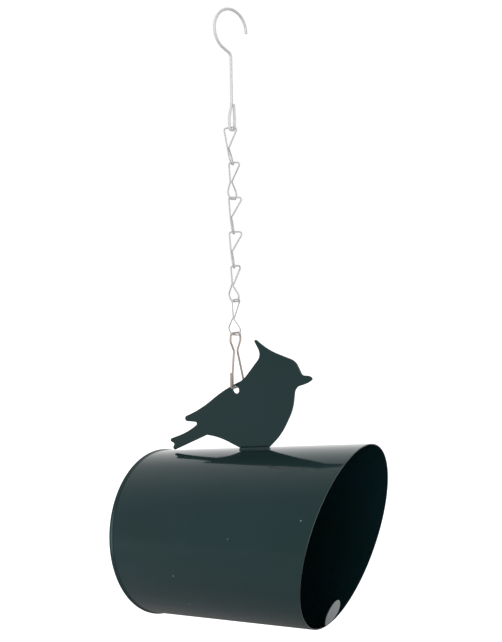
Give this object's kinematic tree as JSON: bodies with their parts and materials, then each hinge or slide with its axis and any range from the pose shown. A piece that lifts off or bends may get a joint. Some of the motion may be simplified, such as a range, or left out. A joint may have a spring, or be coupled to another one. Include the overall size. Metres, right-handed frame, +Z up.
{
  "type": "hanging peanut butter bird feeder",
  "caption": "Dark green sheet steel tube with a slanted mouth that holds a jar of peanut butter for birds, hung by a flat crested bird from a wire clip, a jack chain and a hook.",
  "frame": {"origin": "top of the inside of the hook's bowl, where it rests on a twig, nail or bracket", "axes": "+Z up along the plumb line, +X the way the tube's mouth faces, +Y to the left, looking along +X"},
  "size_m": [0.147, 0.1016, 0.3619],
  "materials": {
    "enamel": "gloss stove enamel, dark green",
    "galvanised_wire": "bright galvanised wire",
    "clip_wire": "nickel-plated spring wire, slightly brown"
  },
  "bodies": {
    "hook": {"hook": "galvanised_wire"},
    "link_1": {"chain_link_1": "galvanised_wire"},
    "link_2": {"chain_link_2": "galvanised_wire"},
    "link_3": {"chain_link_3": "galvanised_wire"},
    "link_4": {"chain_link_4": "galvanised_wire"},
    "link_5": {"chain_link_5": "galvanised_wire"},
    "link_6": {"chain_link_6": "galvanised_wire"},
    "clip": {"wire_clip": "clip_wire"},
    "feeder": {"bird_plate": "enamel", "tube_body": "enamel", "back_cap": "enamel"}
  },
  "joints": [
    {"name": "eye_to_link_1", "type": "hinge", "parent": "hook", "child": "link_1", "pos_m": [0, 0, -0.06349], "axis": [0.9085, 0.4045, 0.1045], "range_deg": [-35, 35]},
    {"name": "link_1_to_link_2", "type": "hinge", "parent": "link_1", "child": "link_2", "pos_m": [0, 0, -0.08415], "axis": [-0.4067, 0.9135, 0], "range_deg": [-35, 35]},
    {"name": "link_2_to_link_3", "type": "hinge", "parent": "link_2", "child": "link_3", "pos_m": [0, 0, -0.1026], "axis": [0.8746, 0.4848, 0], "range_deg": [-35, 35]},
    {"name": "link_3_to_link_4", "type": "hinge", "parent": "link_3", "child": "link_4", "pos_m": [0, 0, -0.12315], "axis": [-0.4848, 0.8746, 0], "range_deg": [-35, 35]},
    {"name": "link_4_to_link_5", "type": "hinge", "parent": "link_4", "child": "link_5", "pos_m": [0, 0, -0.1416], "axis": [0.225, 0.9744, 0], "range_deg": [-35, 35]},
    {"name": "link_5_to_link_6", "type": "hinge", "parent": "link_5", "child": "link_6", "pos_m": [0, 0, -0.16215], "axis": [-0.9744, 0.225, 0], "range_deg": [-35, 35]},
    {"name": "link_6_to_clip", "type": "hinge", "parent": "link_6", "child": "clip", "pos_m": [0, 0, -0.18165], "axis": [-0.9994, 0.0349, 0], "range_deg": [-35, 35]},
    {"name": "clip_to_bird", "type": "hinge", "parent": "clip", "child": "feeder", "pos_m": [0, 0, -0.2126], "axis": [0.1736, 0.9848, 0], "range_deg": [-18, 45]}
  ]
}
